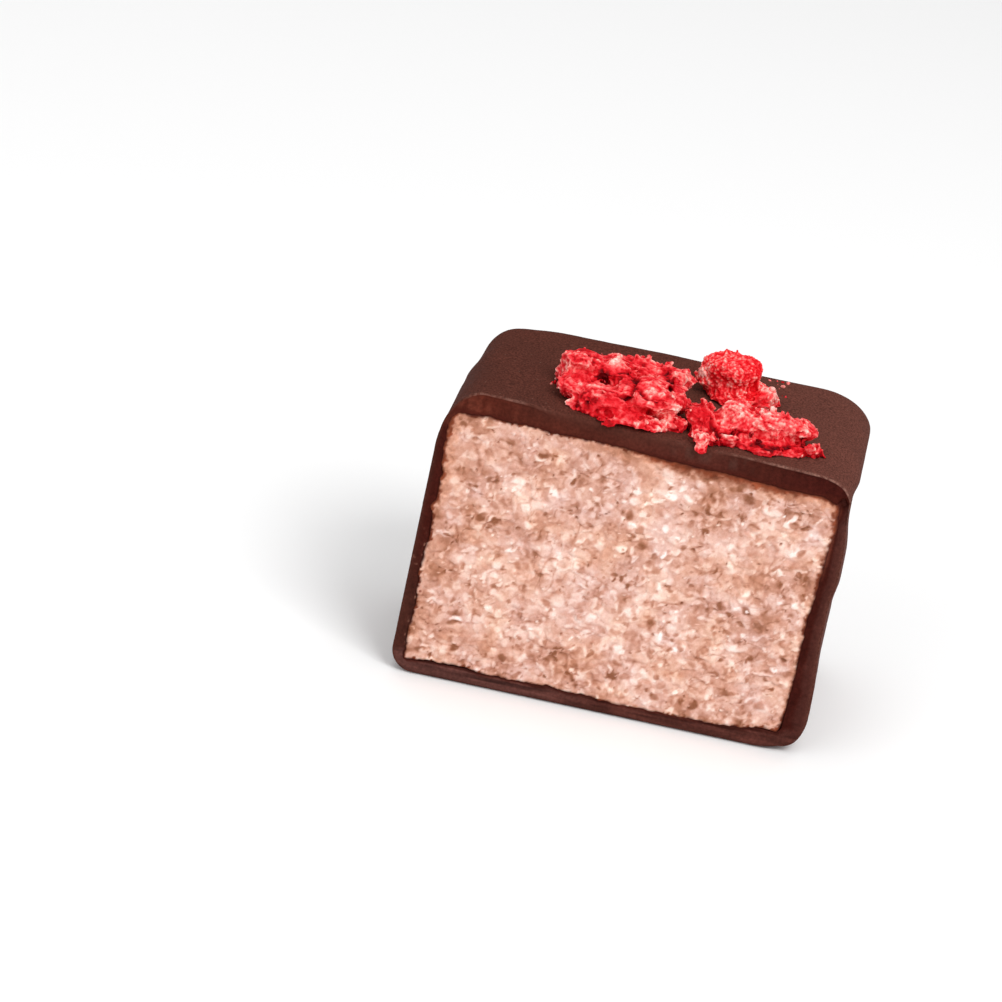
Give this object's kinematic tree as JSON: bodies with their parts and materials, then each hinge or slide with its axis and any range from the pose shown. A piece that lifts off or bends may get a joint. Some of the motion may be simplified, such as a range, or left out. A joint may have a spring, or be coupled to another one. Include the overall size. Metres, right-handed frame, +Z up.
{
  "type": "cheesecake bite",
  "caption": "Halved chocolate-coated cheesecake bite standing on its base, with the crumbly pink filling at the cut and dried strawberry pieces on top.",
  "frame": {"origin": "on the surface the bite stands on, under the middle of the half", "axes": "+X to the right along the cut face, +Y into the bite away from the cut, +Z up"},
  "size_m": [0.0401, 0.0231, 0.0327],
  "materials": {
    "dark_chocolate": "satin dark chocolate, finely speckled on the skin and smoother and darker where it is cut",
    "cheesecake": "moist, coarse crumb of pale pink grains and shreds, stained brown next to the chocolate",
    "dried_strawberry": "dry, porous, bright red flesh with paler pink ridges"
  },
  "bodies": {
    "root": {"chocolate_coating": "dark_chocolate", "cheesecake_filling": "cheesecake", "strawberry_piece_left": "dried_strawberry", "strawberry_piece_back": "dried_strawberry", "strawberry_piece_front": "dried_strawberry"}
  },
  "joints": []
}
